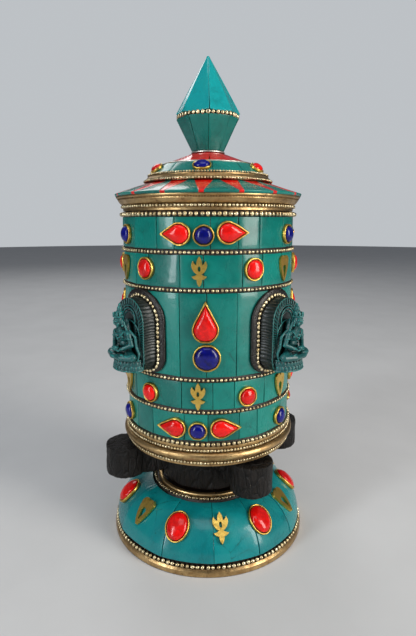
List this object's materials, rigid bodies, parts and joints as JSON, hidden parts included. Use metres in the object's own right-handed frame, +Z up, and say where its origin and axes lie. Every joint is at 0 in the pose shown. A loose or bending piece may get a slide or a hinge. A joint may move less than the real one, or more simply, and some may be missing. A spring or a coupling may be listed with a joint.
{
  "type": "prayer wheel",
  "caption": "Table-top prayer wheel: domed stone-inlaid foot, inlaid drum that spins on a steel spindle by a dark wooden cross, and a lift-off lid with a pointed finial.",
  "frame": {"origin": "centre of the foot's underside, on the spindle's axis", "axes": "+Z up along the spindle, -Y towards the front that carries a vertical coral drop over a round lapis, +X to the right as seen from the front"},
  "size_m": [0.1005, 0.0988, 0.2302],
  "materials": {
    "turquoise": "polished turquoise stone",
    "coral": "polished red coral",
    "lapis": "polished blue lapis",
    "brass": "bright polished brass",
    "aged_brass": "brass worn to a silvery copper tone",
    "bead_brass": "pale brass bead wire",
    "silver_wire": "pale white-metal wire",
    "lac": "dark brown lac cement",
    "copper_sheet": "spun copper sheet",
    "dark_wood": "black-brown stained hardwood",
    "core_wood": "turned softwood core",
    "figure_resin": "cast teal resin with a dark wash",
    "steel": "turned steel",
    "paper": "tightly rolled printed paper"
  },
  "bodies": {
    "stand": {"base_floor": "copper_sheet", "foot_ring": "aged_brass", "foot_beads": "bead_brass", "base_shell": "lac", "base_tiles": "turquoise", "base_bezels": "brass", "base_corals": "coral", "base_ornaments": "brass", "neck_beads": "bead_brass", "neck_ring": "aged_brass", "spindle": "steel", "spindle_nut": "steel", "thrust_washer": "brass", "cap_nut": "steel"},
    "wheel": {"turning_cross": "dark_wood", "lower_bush": "brass", "cross_screws": "steel", "drum_can": "copper_sheet", "core_tube": "brass", "mantra_scroll": "paper", "top_bridge": "copper_sheet", "upper_bush": "brass", "drum_lac": "lac", "bottom_band_tiles": "turquoise", "lower_band_tiles": "turquoise", "middle_band_tiles": "turquoise", "upper_band_tiles": "turquoise", "top_band_tiles": "turquoise", "divider_beads": "bead_brass", "big_bead_rows": "bead_brass", "lower_moulding": "aged_brass", "moulding_beads": "bead_brass", "drop_bezels": "brass", "round_bezels": "brass", "coral_drops": "coral", "coral_ovals": "coral", "lapis_rounds": "lapis", "drum_ornaments": "brass", "panel_borders": "lac", "panel_beads": "bead_brass", "figure_plaques": "figure_resin"},
    "lid": {"cornice": "aged_brass", "cornice_beads": "bead_brass", "lid_shell": "copper_sheet", "roof_tiles": "turquoise", "roof_wedges": "coral", "dome_rim": "aged_brass", "dome_rim_beads": "bead_brass", "dome_tiles": "turquoise", "dome_petals": "coral", "dome_wire": "silver_wire", "dome_bezels": "brass", "dome_corals": "coral", "dome_lapis": "lapis", "finial_collar": "silver_wire", "finial_core": "core_wood", "finial_nut": "steel", "finial_lower_tiles": "turquoise", "finial_upper_tiles": "turquoise", "finial_beads": "bead_brass"}
  },
  "joints": [
    {"name": "wheel_spin", "type": "hinge", "parent": "stand", "child": "wheel", "pos_m": [0, 0, 0.0279], "axis": [0, 0, 1], "continuous": true},
    {"name": "lid_lift", "type": "slide", "parent": "wheel", "child": "lid", "axis": [0, 0, 1], "range_m": [0, 0.06]}
  ]
}
